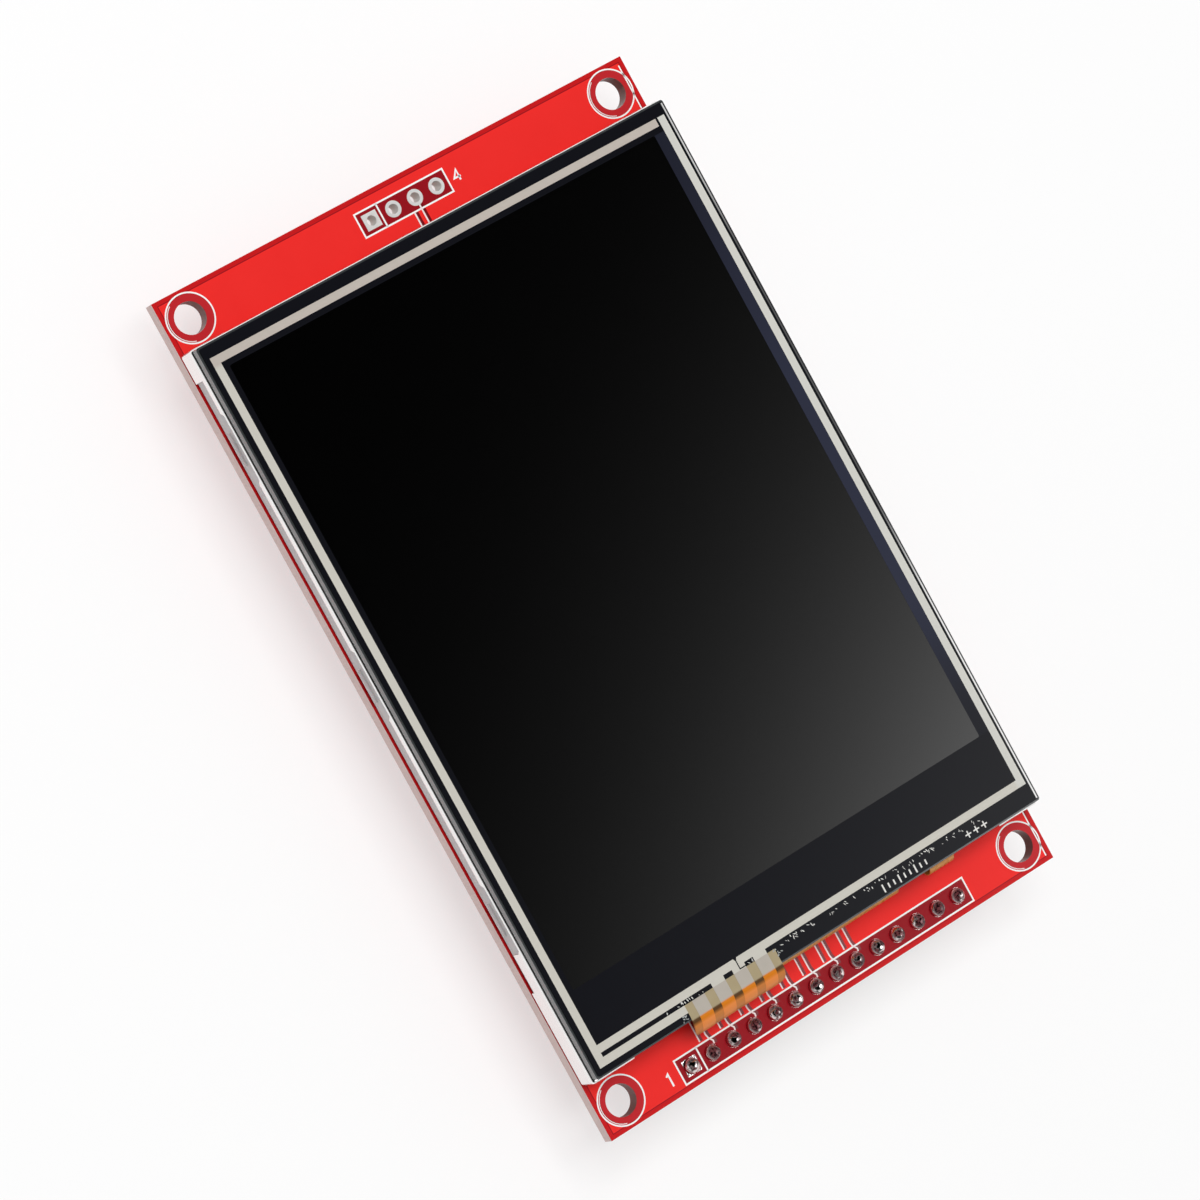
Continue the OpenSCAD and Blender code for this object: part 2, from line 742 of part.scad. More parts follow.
// Leaf switch that senses a card: two thin leaves in the far rail
module socket_detect_switch() {
    y = socket_y - socket_w / 2 + shell_t + 0.2;
    color("gold") for (k = [0, 1]) translate([socket_x0 + 4.6 + 2.6 * k, y, -2.2]) {
        cube([0.2, 0.9, 1.9]);
        translate([0, 0, 0.9]) cube([1.9, 0.2, 1]);
    }
}

// ---- Chips and small parts, on the board's back ----

body_lift = 0.1;
body_h = 0.95;
lead_t = 0.15;

// Side of a chip's moulded body: drafted above and below the band that its leads leave from
module chip_side(w) {
    draft = 0.1;
    low = (body_h - lead_t) / 2;
    high = (body_h + lead_t) / 2;
    polygon([[-w / 2 + draft, 0], [w / 2 - draft, 0], [w / 2, low], [w / 2, high], [w / 2 - draft, body_h],
        [-w / 2 + draft, body_h], [-w / 2, high], [-w / 2, low]]);
}

// A chip's moulded body, hanging below the board
module chip_body(w, l) {
    translate([0, 0, -body_lift - body_h]) intersection() {
        rotate([90, 0, 0]) translate([0, 0, -l / 2]) linear_extrude(l) chip_side(w);
        rotate([90, 0, 90]) translate([0, 0, -w / 2]) linear_extrude(w) chip_side(l);
    }
}

// A gull-wing lead that leaves the body at +x and turns out flat on the board
module gull_lead(reach, w) {
    z = body_lift + (body_h + lead_t) / 2;
    bend = reach * 0.35;
    rotate([90, 0, 0]) translate([0, 0, -w / 2]) linear_extrude(w) polygon([
        [0, -z], [bend, -z], [bend + lead_t, -lead_t], [reach, -lead_t], [reach, 0],
        [bend, 0], [bend - lead_t, -z + lead_t], [0, -z + lead_t]]);
}

// Leads along both sides of a chip
module lead_row(count, pitch, body_w, reach, w) {
    for (i = [0 : count - 1]) translate([0, (i - (count - 1) / 2) * pitch, 0])
        for (s = [0, 1]) mirror([s, 0, 0]) translate([body_w / 2, 0, 0]) gull_lead(reach, w);
}

controller_at = [-16.5, -20.5];
controller_w = 4.4;
controller_l = 5;
regulator_at = [4.5, -23];
regulator_w = 1.6;
regulator_l = 2.9;
transistor_at = [-3.5, -27.5];
transistor_w = 1.3;
transistor_l = 2.9;

module touch_controller() {
    color("darkslategrey") translate([controller_at[0], controller_at[1], 0])
        difference() {
            chip_body(controller_w, controller_l);
            translate([-controller_w / 2 + 0.8, -controller_l / 2 + 0.8, -2]) cylinder(r = 0.3, h = 1);
        }
}

module touch_controller_leads() {
    color("silver") translate([controller_at[0], controller_at[1], 0])
        lead_row(8, 0.65, controller_w, 1, 0.24);
}

module voltage_regulator() {
    color("darkslategrey") translate([regulator_at[0], regulator_at[1], 0])
        chip_body(regulator_w, regulator_l);
}

module regulator_leads() {
    color("silver") translate([regulator_at[0], regulator_at[1], 0]) {
        for (y = [-0.95, 0, 0.95]) translate([regulator_w / 2, y, 0]) gull_lead(0.6, 0.4);
        for (y = [-0.95, 0.95]) mirror([1, 0, 0]) translate([regulator_w / 2, y, 0]) gull_lead(0.6, 0.4);
    }
}

module backlight_transistor() {
    color("darkslategrey") translate([transistor_at[0], transistor_at[1], 0])
        chip_body(transistor_w, transistor_l);
}

module transistor_leads() {
    color("silver") translate([transistor_at[0], transistor_at[1], 0]) {
        for (y = [-0.95, 0.95]) translate([transistor_w / 2, y, 0]) gull_lead(0.55, 0.4);
        mirror([1, 0, 0]) translate([transistor_w / 2, 0, 0]) gull_lead(0.55, 0.4);
    }
}

// Bare pads for a memory chip that isn't fitted
module spare_chip_pads() {
    color("silver") for (s = [-1, 1], i = [0 : 3])
        translate([-20 + s * 2.7 - 0.75, -8 + (i - 1.5) * 1.27 - 0.3, -pad_t]) cube([1.5, 0.6, pad_t]);
}

// Small parts: centre and turn of each, in degrees
resistor_l = 1.6;
resistor_w = 0.8;
resistor_h = 0.45;
capacitor_l = 2;
capacitor_w = 1.25;
capacitor_h = 0.9;
cap_w = 0.35;
resistors = [[-24, -20, 90], [-22, -20, 90], [-8.5, -27, 0], [-8.5, -25, 0], [-8.5, -23, 0],
    [0.5, -27.5, 90], [2.2, -27.5, 90], [-22, -27, 0], [-4.5, 1, 90], [-4.5, 5, 90], [-4.5, 9, 90],
    [-4.5, 13, 90]];
capacitors = [[-16.5, -27.5, 0], [8.8, -22, 90], [0.8, -21.5, 90], [-10.5, -17, 90]];

module chip_core(l, w, h) {
    translate([-l / 2 + cap_w, -w / 2, -h]) cube([l - 2 * cap_w, w, h]);
}

module chip_ends(l, w, h) {
    for (s = [-1, 1]) translate([s * (l / 2 - cap_w / 2), 0, -h / 2]) cube([cap_w, w, h], center = true);
}

module place_each(places) {
    for (p = places) translate([p[0], p[1], 0]) rotate([0, 0, p[2]]) children();
}

module resistor_bodies() {
    color("black") place_each(resistors) chip_core(resistor_l, resistor_w, resistor_h);
}

module resistor_caps() {
    color("silver") place_each(resistors) chip_ends(resistor_l, resistor_w, resistor_h);
}

module capacitor_bodies() {
    color("peru") place_each(capacitors) chip_core(capacitor_l, capacitor_w, capacitor_h);
}

module capacitor_caps() {
    color("silver") place_each(capacitors) chip_ends(capacitor_l, capacitor_w, capacitor_h);
}

circuit_board();
header_pads();
header_strip();
header_pins();
header_solder();
spare_pads();
mounting_tape();
backlight_frame();
reflector_sheet();
light_guide();
diffuser_sheet();
lower_prism_sheet();
upper_prism_sheet();
led_strip();
backlight_leds();
rim_tape();
rear_polarizer();
rear_glass();
front_glass();
front_polarizer();
driver_chip();
panel_flex();
panel_flex_joints();
bezel_gasket();
steel_bezel();
touch_tape();
touch_glass();
touch_spacer();
touch_film();
border_ink();
silver_conductors();
touch_tail();
touch_tail_lanes();
socket_base();
socket_shell();
socket_contacts();
socket_detect_switch();
touch_controller();
touch_controller_leads();
voltage_regulator();
regulator_leads();
backlight_transistor();
transistor_leads();
spare_chip_pads();
resistor_bodies();
resistor_caps();
capacitor_bodies();
capacitor_caps();
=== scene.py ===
import math
import random

import bmesh
import bpy
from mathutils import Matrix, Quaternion, Vector


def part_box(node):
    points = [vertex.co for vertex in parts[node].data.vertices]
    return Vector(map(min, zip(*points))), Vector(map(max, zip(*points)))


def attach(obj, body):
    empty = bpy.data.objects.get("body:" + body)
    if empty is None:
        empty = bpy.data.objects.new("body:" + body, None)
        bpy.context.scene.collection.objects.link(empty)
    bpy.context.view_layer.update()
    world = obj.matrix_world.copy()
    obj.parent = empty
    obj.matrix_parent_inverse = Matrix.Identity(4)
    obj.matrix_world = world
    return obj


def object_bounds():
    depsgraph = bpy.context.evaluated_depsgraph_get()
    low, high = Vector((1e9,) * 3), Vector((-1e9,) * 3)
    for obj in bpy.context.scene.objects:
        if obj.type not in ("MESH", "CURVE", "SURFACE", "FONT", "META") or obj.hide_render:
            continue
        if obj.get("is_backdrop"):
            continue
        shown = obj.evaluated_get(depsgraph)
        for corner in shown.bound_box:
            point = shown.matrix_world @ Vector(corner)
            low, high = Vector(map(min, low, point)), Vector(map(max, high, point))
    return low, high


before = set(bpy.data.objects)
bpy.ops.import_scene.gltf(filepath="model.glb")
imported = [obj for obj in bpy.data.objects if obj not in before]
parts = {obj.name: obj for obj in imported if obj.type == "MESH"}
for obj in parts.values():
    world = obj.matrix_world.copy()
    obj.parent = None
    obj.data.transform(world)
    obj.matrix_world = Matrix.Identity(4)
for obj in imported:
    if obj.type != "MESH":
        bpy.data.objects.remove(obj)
cad_low, cad_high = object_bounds()


# ---- Camera, table and lights ----
# The module lies display up on a pale table, seen from above its left edge
# through a long lens. A wide panel overhead and a pale room light it evenly; a soft
# box beyond its lower right corner shines in the screen.

MM = 0.001
scene = bpy.context.scene
scene.view_settings.view_transform = "Standard"

look_at = Vector((-1.98, -0.11, 1.6)) * MM
camera_distance = 461.5 * MM
camera_azimuth = math.radians(170.28)
camera_elevation = math.radians(66.06)
camera_roll = math.radians(70.25)

away = Vector((math.cos(camera_elevation) * math.cos(camera_azimuth),
               math.cos(camera_elevation) * math.sin(camera_azimuth),
               math.sin(camera_elevation)))
camera_data = bpy.data.cameras.new("camera")
camera_data.sensor_width = 36
camera_data.lens = 145.15
camera_data.clip_start = 0.02
camera = bpy.data.objects.new("camera", camera_data)
camera.location = look_at + away * camera_distance
camera.rotation_mode = "QUATERNION"
camera.rotation_quaternion = (-away).to_track_quat("-Z", "Y") @ Quaternion((0, 0, 1), camera_roll)
scene.collection.objects.link(camera)
scene.camera = camera

overhead_place = Vector((-0.04, 0.22, 0.88))
overhead_data = bpy.data.lights.new("overhead_panel", "AREA")
overhead_data.size = 0.50
overhead_data.energy = 5.6
overhead = bpy.data.objects.new("overhead_panel", overhead_data)
overhead.location = overhead_place
overhead.rotation_mode = "QUATERNION"
overhead.rotation_quaternion = (-overhead_place).to_track_quat("-Z", "Y")
overhead.visible_glossy = False
scene.collection.objects.link(overhead)


def fill(tree, node, values):
    """Feeds a node's inputs in order, each from a socket or a plain value."""
    for socket, value in zip(node.inputs, values):
        if isinstance(value, bpy.types.NodeSocket):
            tree.links.new(value, socket)
        elif value is not None:
            socket.default_value = value


def math_node(tree, operation, first, second=None, clamp=False):
    """A Math node; gives its output socket."""
    node = tree.nodes.new("ShaderNodeMath")
    node.operation = operation
    node.use_clamp = clamp
    fill(tree, node, (first, second))
    return node.outputs[0]


def vector_node(tree, operation, first, second=None):
    """A Vector Math node; gives its vector, or its value where it makes one."""
    node = tree.nodes.new("ShaderNodeVectorMath")
    node.operation = operation
    fill(tree, node, (first, second))
    return node.outputs["Value" if operation in ("DISTANCE", "DOT_PRODUCT") else "Vector"]


def axis_of(tree, vector, axis):
    """One coordinate of a vector socket."""
    split = tree.nodes.new("ShaderNodeSeparateXYZ")
    tree.links.new(vector, split.inputs[0])
    return split.outputs[axis]


def ramp(tree, value, start, end, start_value=0.0, end_value=1.0, eased=False):
    """Goes from one value to another while a socket goes from start to end."""
    node = tree.nodes.new("ShaderNodeMapRange")
    node.interpolation_type = "SMOOTHSTEP" if eased else "LINEAR"
    fill(tree, node, (value, start, end, start_value, end_value))
    return node.outputs["Result"]


def mix_shaders(tree, factor, first, second):
    """A Mix Shader node; gives its output socket."""
    node = tree.nodes.new("ShaderNodeMixShader")
    fill(tree, node, (factor, first, second))
    return node.outputs[0]


# The room: even light on every surface, white to the eye. In reflections it is white
# near the horizon under a dark ceiling, with the soft box's smooth edged glow
even_light = 0.50
ceiling_start, ceiling_end = 0.20, 0.62
glow_toward = Vector((0.60, -0.38, 0.70)).normalized()
glow_focus = 92.0
glow_gain = 650.0
glow_most = 3.0

room = bpy.data.worlds.new("room")
room.use_nodes = True
scene.world = room
tree = room.node_tree
tree.nodes.clear()
direction = tree.nodes.new("ShaderNodeTexCoord").outputs["Generated"]
ceiling = ramp(tree, axis_of(tree, direction, "Z"), ceiling_start, ceiling_end, 1.0, 0.0, eased=True)
ahead = math_node(tree, "MAXIMUM", vector_node(tree, "DOT_PRODUCT", direction, glow_toward), 0.0)
glow = math_node(tree, "MULTIPLY", math_node(tree, "POWER", ahead, glow_focus), glow_gain)
glow = math_node(tree, "MINIMUM", glow, glow_most)
even = tree.nodes.new("ShaderNodeBackground")
even.inputs["Strength"].default_value = even_light
mirrored = tree.nodes.new("ShaderNodeBackground")
tree.links.new(math_node(tree, "ADD", ceiling, glow), mirrored.inputs["Color"])
seen = tree.nodes.new("ShaderNodeBackground")
seen.inputs["Color"].default_value = (1, 1, 1, 1)
path = tree.nodes.new("ShaderNodeLightPath")
lit = mix_shaders(tree, path.outputs["Is Glossy Ray"], even.outputs[0], mirrored.outputs[0])
room_out = tree.nodes.new("ShaderNodeOutputWorld")
tree.links.new(mix_shaders(tree, path.outputs["Is Camera Ray"], lit, seen.outputs[0]),
               room_out.inputs["Surface"])


def mesh_piece(name, bm, body="root"):
    """Turns a bmesh into a named piece that rides on a body."""
    mesh = bpy.data.meshes.new(name)
    bm.normal_update()
    bm.to_mesh(mesh)
    bm.free()
    piece = bpy.data.objects.new(name, mesh)
    scene.collection.objects.link(piece)
    if body:
        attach(piece, body)
    return piece


# To the eye the table is part lit paper and part plain white, which keeps its shadow light
table_reach = 1.6
table_whiteness = 0.6

bm = bmesh.new()
bmesh.ops.create_grid(bm, x_segments=8, y_segments=8, size=table_reach)
bmesh.ops.translate(bm, verts=bm.verts, vec=(0, 0, cad_low.z))
table = mesh_piece("table", bm, body=None)
table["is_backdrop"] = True
table_finish = bpy.data.materials.new("table_white")
table_finish.use_nodes = True
tree = table_finish.node_tree
paper = tree.nodes["Principled BSDF"]
paper.inputs["Roughness"].default_value = 0.9
paper.inputs["Specular IOR Level"].default_value = 0.1
cloud = tree.nodes.new("ShaderNodeTexNoise")
cloud.inputs["Scale"].default_value = 3
tree.links.new(ramp(tree, cloud.outputs["Fac"], 0.0, 1.0, 0.96, 0.99), paper.inputs["Base Color"])
plain_white = tree.nodes.new("ShaderNodeEmission")
path = tree.nodes.new("ShaderNodeLightPath")
whiter = math_node(tree, "MULTIPLY", path.outputs["Is Camera Ray"], table_whiteness)
tree.links.new(mix_shaders(tree, whiter, paper.outputs[0], plain_white.outputs[0]),
               tree.nodes["Material Output"].inputs["Surface"])
table.data.materials.append(table_finish)


# ---- Circuit board ----
# Glass fibre laminate, 1.6 mm, under a glossy red solder mask. The mask is bright
# where copper lies under it and wine red over bare laminate; the cut edges are pale.

board_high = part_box("circuit_board")[1]
board_top = board_high.z
half_w = board_high.x
half_l = board_high.y
hole_inset = 2.8 * MM
holes = [(x * (half_w - hole_inset), y * (half_l - hole_inset)) for x in (-1, 1) for y in (-1, 1)]
hole_r = 1.6 * MM
ring_r = 2.5 * MM
ring_line_w = 0.15 * MM
pads_low, pads_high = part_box("header_pads")
header_x = (pads_low.x + pads_high.x) / 2
header_y = (pads_low.y + pads_high.y) / 2
pitch = 2.54 * MM
pin_total = 14
pin_xs = [header_x + (i - (pin_total - 1) / 2) * pitch for i in range(pin_total)]
spare_low, spare_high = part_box("spare_pads")
spare_x = (spare_low.x + spare_high.x) / 2
spare_y = (spare_low.y + spare_high.y) / 2
spare_total = 4
spare_xs = [spare_x + (i - (spare_total - 1) / 2) * pitch for i in range(spare_total)]
header_box = ((header_x, header_y), (17.9 * MM, 1.28 * MM))
spare_box = ((spare_x, spare_y), (5.15 * MM, 1.22 * MM))


def node_group(name, inputs, outputs):
    """An empty shader group with its sockets: name -> (kind, value) and name -> kind."""
    group = bpy.data.node_groups.new(name, "ShaderNodeTree")
    for socket, (kind, value) in inputs.items():
        made = group.interface.new_socket(socket, in_out="INPUT", socket_type="NodeSocket" + kind)
        if value is not None:
            made.default_value = value
    for socket, kind in outputs.items():
        group.interface.new_socket(socket, in_out="OUTPUT", socket_type="NodeSocket" + kind)
    return group, group.nodes.new("NodeGroupInput"), group.nodes.new("NodeGroupOutput")


def blend_color(tree, factor, first, second):
    """Mixes two colours, each a socket or a plain colour, by a factor."""
    node = tree.nodes.new("ShaderNodeMix")
    node.data_type = "RGBA"
    for index, value in ((0, factor), (6, first), (7, second)):
        if isinstance(value, bpy.types.NodeSocket):
            tree.links.new(value, node.inputs[index])
        else:
            node.inputs[index].default_value = (*value, 1)
    return node.outputs[2]


# Every surface varies a little: one shared group gives the uneven colour, gloss and
# height of moulded, printed, rolled and plated surfaces
grain_group, gin, gout = node_group("surface_grain", {
    "Vector": ("Vector", None),
    "Scale": ("Float", 900.0),
    "Color": ("Color", (0.5, 0.5, 0.5, 1)),
    "Tint": ("Color", (0.4, 0.4, 0.4, 1)),
    "Roughness": ("Float", 0.5),
    "Spread": ("Float", 0.1),
}, {"Color": "Color", "Roughness": "Float", "Height": "Float"})
coarse = grain_group.nodes.new("ShaderNodeTexNoise")
coarse.inputs["Detail"].default_value = 5
coarse.inputs["Roughness"].default_value = 0.6
fine = grain_group.nodes.new("ShaderNodeTexNoise")
fine.inputs["Detail"].default_value = 2
fine_scale = math_node(grain_group, "MULTIPLY", gin.outputs["Scale"], 6.0)
swing = math_node(grain_group, "SUBTRACT", fine.outputs["Fac"], 0.5)
swing = math_node(grain_group, "MULTIPLY", swing, gin.outputs["Spread"])
for result, socket in (
        (gin.outputs["Vector"], coarse.inputs["Vector"]),
        (gin.outputs["Vector"], fine.inputs["Vector"]),
        (gin.outputs["Scale"], coarse.inputs["Scale"]),
        (fine_scale, fine.inputs["Scale"]),
        (blend_color(grain_group, coarse.outputs["Fac"], gin.outputs["Color"], gin.outputs["Tint"]),
         gout.inputs["Color"]),
        (math_node(grain_group, "ADD", gin.outputs["Roughness"], swing, clamp=True),
         gout.inputs["Roughness"]),
        (math_node(grain_group, "ADD", coarse.outputs["Fac"], fine.outputs["Fac"]),
         gout.inputs["Height"])):
    grain_group.links.new(result, socket)


class Finish:
    """A Principled material that starts from the shared grain, open to further changes."""

    def __init__(self, name, color, tint, roughness, spread=0.1, metallic=0.0, scale=900.0,
                 bump=0.05, stretch=(1, 1, 1), **values):
        self.material = bpy.data.materials.new(name)
        self.material.use_nodes = True
        self.tree = self.material.node_tree
        self.shader = self.tree.nodes["Principled BSDF"]
        self.shader.inputs["Metallic"].default_value = metallic
        for socket, value in values.items():
            self.shader.inputs[socket.replace("_", " ")].default_value = value
        surface = self.tree.nodes.new("ShaderNodeTexCoord")
        self.place = surface.outputs["Object"]
        self.normal = surface.outputs["Normal"]
        mapping = self.tree.nodes.new("ShaderNodeMapping")
        mapping.inputs["Scale"].default_value = stretch
        self.tree.links.new(self.place, mapping.inputs["Vector"])
        grain = self.tree.nodes.new("ShaderNodeGroup")
        grain.node_tree = grain_group
        self.tree.links.new(mapping.outputs[0], grain.inputs["Vector"])
        grain.inputs["Scale"].default_value = scale
        grain.inputs["Color"].default_value = (*color, 1)
        grain.inputs["Tint"].default_value = (*tint, 1)
        grain.inputs["Roughness"].default_value = roughness
        grain.inputs["Spread"].default_value = spread
        self.tree.links.new(grain.outputs["Roughness"], self.shader.inputs["Roughness"])
        self.bump = self.tree.nodes.new("ShaderNodeBump")
        self.bump.inputs["Strength"].default_value = bump
        self.bump.inputs["Distance"].default_value = 0.02 * MM
        self.tree.links.new(self.bump.outputs["Normal"], self.shader.inputs["Normal"])
        self.repaint(grain.outputs["Color"])
        self.reshape(grain.outputs["Height"])

    def repaint(self, color):
        """Feeds another colour socket to the shader."""
        self.tree.links.new(color, self.shader.inputs["Base Color"])
        self.color = color

    def cover(self, mask, color):
        """Paints another colour, a socket or a plain colour, where a mask is 1."""
        self.repaint(blend_color(self.tree, mask, self.color, color))

    def reshape(self, height):
        """Feeds another height socket to the bump."""
        self.tree.links.new(height, self.bump.inputs["Height"])
        self.height = height

    def along(self, axis, start, end, start_value=0.0, end_value=1.0, eased=False):
        """Goes from one value to another along an axis of the part."""
        return ramp(self.tree, axis_of(self.tree, self.place, axis), start, end, start_value, end_value,
                    eased)

    def noise(self, scale):
        """A noise over the surface."""
        node = self.tree.nodes.new("ShaderNodeTexNoise")
        node.inputs["Scale"].default_value = scale
        self.tree.links.new(self.place, node.inputs["Vector"])
        return node.outputs["Fac"]


def dress(finish, *names):
    """Gives CAD nodes a finish."""
    for name in names:
        mesh = parts[name].data
        mesh.materials.clear()
        mesh.materials.append(finish.material)


# Zones of the solder mask: a box with half sizes and a disc with a radius
soft_edge = 0.04 * MM
box_group, gin, gout = node_group("zone_box", {
    "Vector": ("Vector", None),
    "Centre": ("Vector", (0, 0, 0)),
    "Half size": ("Vector", (0.01, 0.01, 0)),
    "Soft": ("Float", soft_edge),
}, {"Mask": "Float"})
offset = vector_node(box_group, "SUBTRACT", gin.outputs["Vector"], gin.outputs["Centre"])
inside = vector_node(box_group, "SUBTRACT", gin.outputs["Half size"],
                     vector_node(box_group, "ABSOLUTE", offset))
least = math_node(box_group, "MINIMUM", axis_of(box_group, inside, "X"), axis_of(box_group, inside, "Y"))
box_group.links.new(math_node(box_group, "DIVIDE", least, gin.outputs["Soft"], clamp=True),
                    gout.inputs["Mask"])

disc_group, gin, gout = node_group("zone_disc", {
    "Vector": ("Vector", None),
    "Centre": ("Vector", (0, 0, 0)),
    "Radius": ("Float", 0.002),
    "Soft": ("Float", soft_edge),
}, {"Mask": "Float"})
flat = vector_node(disc_group, "MULTIPLY", gin.outputs["Vector"], (1, 1, 0))
inside = math_node(disc_group, "SUBTRACT", gin.outputs["Radius"],
                   vector_node(disc_group, "DISTANCE", flat, gin.outputs["Centre"]))
disc_group.links.new(math_node(disc_group, "DIVIDE", inside, gin.outputs["Soft"], clamp=True),
                     gout.inputs["Mask"])


def zone(finish, group, centre, size):
    """Places a zone in a material: a box with half sizes or a disc with a radius."""
    node = finish.tree.nodes.new("ShaderNodeGroup")
    node.node_tree = group
    finish.tree.links.new(finish.place, node.inputs["Vector"])
    node.inputs["Centre"].default_value = (*centre, 0)
    if group is box_group:
        node.inputs["Half size"].default_value = (*size, 0)
    else:
        node.inputs["Radius"].default_value = size
    return node.outputs["Mask"]


def any_of(finish, masks):
    """The largest of several masks."""
    total = masks[0]
    for mask in masks[1:]:
        total = math_node(finish.tree, "MAXIMUM", total, mask)
    return total


mask_bright = (0.87, 0.029, 0.025)
mask_mottled = (0.82, 0.024, 0.021)
mask_dark = (0.29, 0.006, 0.012)
mask_edge = (0.55, 0.010, 0.012)
mask_round = (0.50, 0.020, 0.026)
laminate_pale = (0.76, 0.60, 0.57)
laminate_weave = (0.58, 0.42, 0.39)
# The next colour is painted shade on the walls of the mounting holes
hole_wall_painted_shade = (0.19, 0.08, 0.07)
plated_wall = (0.80, 0.78, 0.75)
copper_inset = 0.5 * MM
edge_gap = 0.1 * MM
bare_depth = 3.0

board_finish = Finish("red_solder_mask", mask_bright, mask_mottled, 0.24, spread=0.08, scale=260,
                      bump=0.12, Specular_IOR_Level=0.14)
tree = board_finish.tree
round_holes = any_of(board_finish, [zone(board_finish, disc_group, hole, ring_r - 0.12 * MM)
                                    for hole in holes])
in_boxes = any_of(board_finish, [zone(board_finish, box_group, *box) for box in (header_box, spare_box)])
copper_w, copper_l = half_w - copper_inset, half_l - copper_inset
copper_field = zone(board_finish, box_group, (0, 0), (copper_w, copper_l))
edge_field = zone(board_finish, box_group, (0, 0), (copper_w + edge_gap, copper_l + edge_gap))
edge_line = math_node(tree, "SUBTRACT", edge_field, copper_field)
masked = blend_color(tree, edge_field, mask_edge, board_finish.color)
masked = blend_color(tree, round_holes, masked, mask_round)
masked = blend_color(tree, math_node(tree, "MAXIMUM", in_boxes, edge_line), masked, mask_dark)

weave = tree.nodes.new("ShaderNodeTexNoise")
weave.inputs["Scale"].default_value = 2400
weave_map = tree.nodes.new("ShaderNodeMapping")
weave_map.inputs["Scale"].default_value = (0.35, 0.35, 2.5)
tree.links.new(board_finish.place, weave_map.inputs["Vector"])
tree.links.new(weave_map.outputs[0], weave.inputs["Vector"])
laminate = blend_color(tree, weave.outputs["Fac"], laminate_pale, laminate_weave)
# Painted shade: the walls of the mounting holes are painted dark brown, standing in for the shade inside them
in_holes = any_of(board_finish, [zone(board_finish, disc_group, hole, hole_r + 0.2 * MM) for hole in holes])
laminate = blend_color(tree, in_holes, laminate, hole_wall_painted_shade)
in_spares = any_of(board_finish, [zone(board_finish, disc_group, (x, spare_y), 0.8 * MM) for x in spare_xs])
laminate = blend_color(tree, in_spares, laminate, plated_wall)

level = math_node(tree, "ABSOLUTE", axis_of(tree, board_finish.normal, "Z"))
on_faces = math_node(tree, "GREATER_THAN", level, 0.5)
board_finish.repaint(blend_color(tree, on_faces, laminate, masked))
sunk = math_node(tree, "MULTIPLY", math_node(tree, "MAXIMUM", round_holes, in_boxes), bare_depth)
board_finish.reshape(math_node(tree, "SUBTRACT", board_finish.height, sunk))
dress(board_finish, "circuit_board")


# ---- White printing ----
# Screen printed ink on the board: rings round the mounting holes, boxes round both
# pin rows with the first pin set apart, and plain pin numbers.

ink_t = 0.02 * MM
ink_top = board_top + ink_t
line_w = 0.17 * MM
digit_w = 0.2 * MM


def prism(bm, outline, low, high):
    """Extrudes a closed outline between two heights."""
    bottom = [bm.verts.new((x, y, low)) for x, y in outline]
    top = [bm.verts.new((x, y, high)) for x, y in outline]
    count = len(outline)
    bm.faces.new(top)
    bm.faces.new(bottom[::-1])
    for i in range(count):
        j = (i + 1) % count
        bm.faces.new((bottom[i], bottom[j], top[j], top[i]))


def band(bm, outer, inner, low, high):
    """A flat closed band between two outlines with the same number of points."""
    count = len(outer)
    loops = [[bm.verts.new((x, y, z)) for x, y in outline]
             for outline in (outer, inner) for z in (low, high)]
    outer_low, outer_high, inner_low, inner_high = loops
    for i in range(count):
        j = (i + 1) % count
        bm.faces.new((outer_high[i], outer_high[j], inner_high[j], inner_high[i]))
        bm.faces.new((outer_low[j], outer_low[i], inner_low[i], inner_low[j]))
        bm.faces.new((outer_low[i], outer_low[j], outer_high[j], outer_high[i]))
        bm.faces.new((inner_low[j], inner_low[i], inner_high[i], inner_high[j]))


def circle(x, y, r, count=48):
    """Points of a round outline."""
    return [(x + r * math.cos(2 * math.pi * i / count), y + r * math.sin(2 * math.pi * i / count))
            for i in range(count)]


def rectangle(x, y, half_x, half_y):
    """Corners of a box round (x, y)."""
    return [(x - half_x, y - half_y), (x + half_x, y - half_y),
            (x + half_x, y + half_y), (x - half_x, y + half_y)]


def hole_rings(bm, low, high):
    """A thin ring round each mounting hole."""
    for x, y in holes:
        band(bm, circle(x, y, ring_r), circle(x, y, ring_r - ring_line_w), low, high)


def frame_line(bm, x, y, half_x, half_y, low, high):
    """A rectangular printed line, centred on its path."""
    band(bm, rectangle(x, y, half_x + line_w / 2, half_y + line_w / 2),
         rectangle(x, y, half_x - line_w / 2, half_y - line_w / 2), low, high)


def stroke(bm, path, width, low, high):
    """A line of constant width along a path, with mitred turns."""
    left, right = [], []
    for i, (x, y) in enumerate(path):
        before = Vector(path[max(i - 1, 0)])
        after = Vector(path[min(i + 1, len(path) - 1)])
        here = Vector((x, y))
        ways = [v.normalized() for v in (here - before, after - here) if v.length > 0]
        along = sum(ways, Vector((0, 0))).normalized()
        across = Vector((-along.y, along.x)) * width / 2 / max(0.5, along.dot(ways[0]))
        left.append(tuple(here + across))
        right.append(tuple(here - across))
    for i in range(len(path) - 1):
        prism(bm, [left[i], right[i], right[i + 1], left[i + 1]], low, high)


